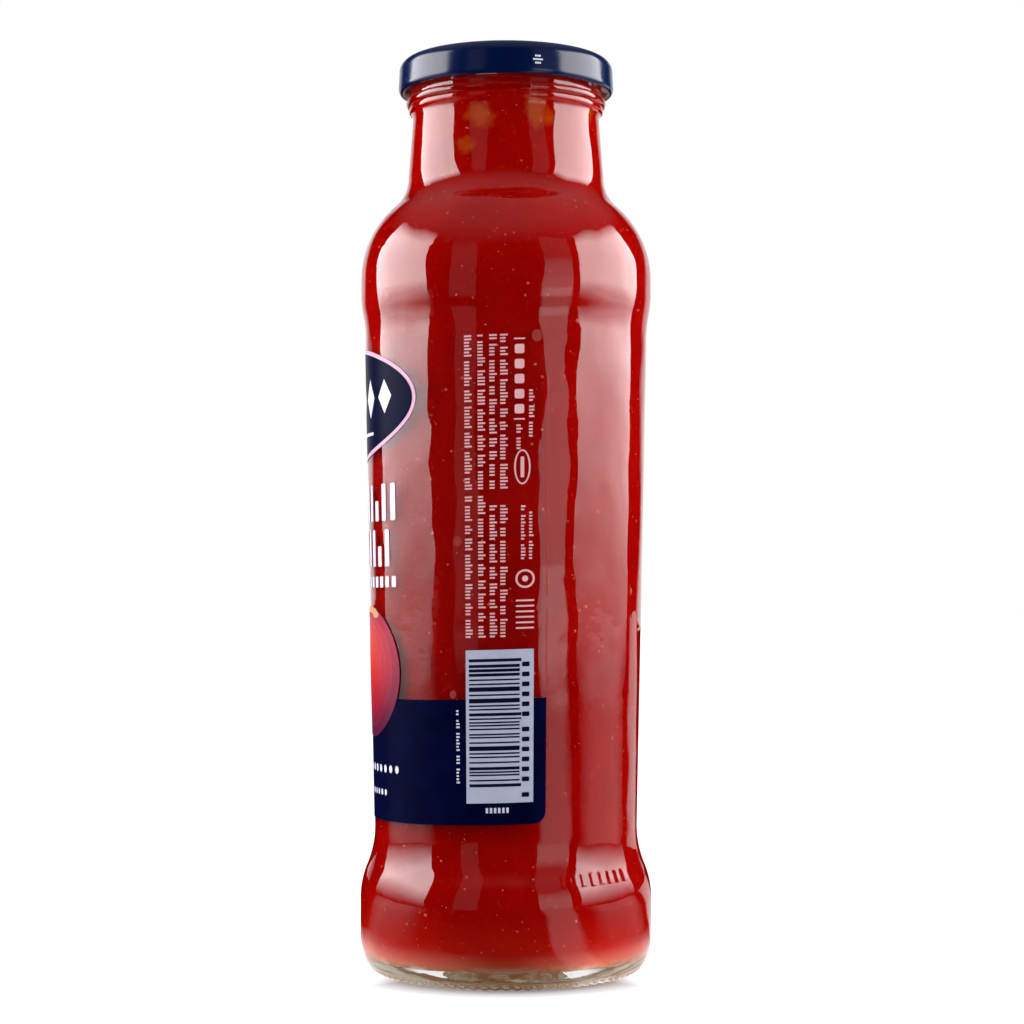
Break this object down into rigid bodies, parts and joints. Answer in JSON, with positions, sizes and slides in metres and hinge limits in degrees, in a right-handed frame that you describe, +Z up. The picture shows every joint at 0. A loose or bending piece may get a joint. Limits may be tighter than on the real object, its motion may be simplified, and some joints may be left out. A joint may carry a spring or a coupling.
{
  "type": "glass bottle of tomato passata",
  "caption": "Waisted clear glass bottle of tomato passata with a steel twist-off lid and a clear wrap label",
  "frame": {"origin": "middle of the ring that the bottle stands on, at the lowest point", "axes": "+Z up along the bottle's own axis, the middle of the label faces -Y, +X is to the right of someone facing the label"},
  "size_m": [0.076, 0.0758, 0.2366],
  "materials": {
    "glass": "clear pressed and blown soda glass, smooth",
    "passata": "thick wet sieved tomato with fine pale specks",
    "lid": "navy gloss lacquer on tinplate, pale lacquer inside",
    "seal": "soft pale sealing compound",
    "label": "clear glossy film printed with navy, white and red fields"
  },
  "bodies": {
    "root": {"glass": "glass", "passata": "passata", "lid": "lid", "seal": "seal", "label": "label"}
  },
  "joints": []
}
